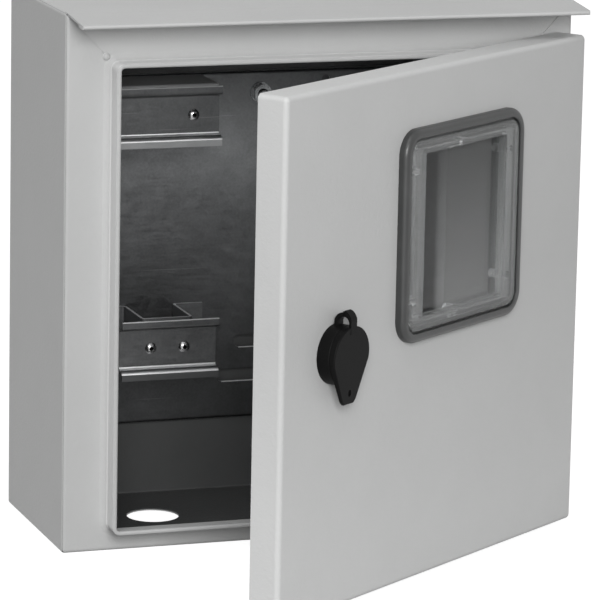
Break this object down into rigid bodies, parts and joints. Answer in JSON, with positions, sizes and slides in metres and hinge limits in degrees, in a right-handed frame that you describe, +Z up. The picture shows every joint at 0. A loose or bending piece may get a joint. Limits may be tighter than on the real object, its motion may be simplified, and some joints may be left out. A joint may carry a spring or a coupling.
{
  "type": "electric meter box",
  "caption": "Outdoor steel meter box with rain visor, raised rim, windowed hinged door, cam lock with dust cover, and an inner mounting panel with top-hat rails.",
  "frame": {"origin": "on the back face, in the middle of the four wall holes", "axes": "+X right as seen from the front, +Y back into the wall, +Z up"},
  "size_m": [0.3013, 0.3049, 0.307],
  "materials": {
    "powder_coat": "fine textured satin",
    "galvanised_panel": "dull galvanised",
    "galvanised_bracket": "dull galvanised",
    "rail_steel": "satin zinc",
    "zinc_fastener": "bright zinc",
    "rivet_metal": "satin",
    "seal_foam": "matt foam",
    "gasket_rubber": "matt",
    "clear_plastic": "clear",
    "lock_metal": "plated",
    "cam_steel": "zinc",
    "black_plastic": "satin black"
  },
  "bodies": {
    "enclosure": {"enclosure_shell": "powder_coat", "mounting_panel": "galvanised_panel", "panel_studs": "zinc_fastener", "panel_spacers": "zinc_fastener", "panel_washers": "zinc_fastener", "panel_nuts": "zinc_fastener", "upper_rail_bracket": "galvanised_bracket", "lower_rail_bracket": "galvanised_bracket", "upper_din_rail": "rail_steel", "lower_din_rail": "rail_steel", "upper_rail_rivets": "rivet_metal", "lower_rail_rivets": "rivet_metal", "earth_stud": "zinc_fastener", "earth_washer": "zinc_fastener", "earth_nut": "zinc_fastener", "upper_case_hinge": "powder_coat", "lower_case_hinge": "powder_coat", "upper_hinge_pin": "zinc_fastener", "lower_hinge_pin": "zinc_fastener"},
    "door": {"upper_door_hinge": "powder_coat", "lower_door_hinge": "powder_coat", "door_pan": "powder_coat", "door_seal": "seal_foam", "window_gasket": "gasket_rubber", "window_lens": "clear_plastic", "lock_housing": "lock_metal", "lock_nut": "lock_metal", "cover_base": "black_plastic"},
    "barrel": {"lock_barrel": "lock_metal", "lock_cam": "cam_steel", "cam_bolt": "zinc_fastener"},
    "cover": {"lock_cover": "black_plastic"}
  },
  "joints": [
    {"name": "door_hinge", "type": "hinge", "parent": "enclosure", "child": "door", "pos_m": [0.14, -0.128, 0], "axis": [0, 0, 1], "range_deg": [-36, 74]},
    {"name": "lock_turn", "type": "hinge", "parent": "door", "child": "barrel", "pos_m": [-0.04692, -0.27802, -0.0079], "axis": [-0.5878, 0.809, 0], "range_deg": [0, 90]},
    {"name": "cover_flip", "type": "hinge", "parent": "door", "child": "cover", "pos_m": [-0.04257, -0.28401, 0.016], "axis": [-0.809, -0.5878, 0], "range_deg": [0, 120]}
  ]
}
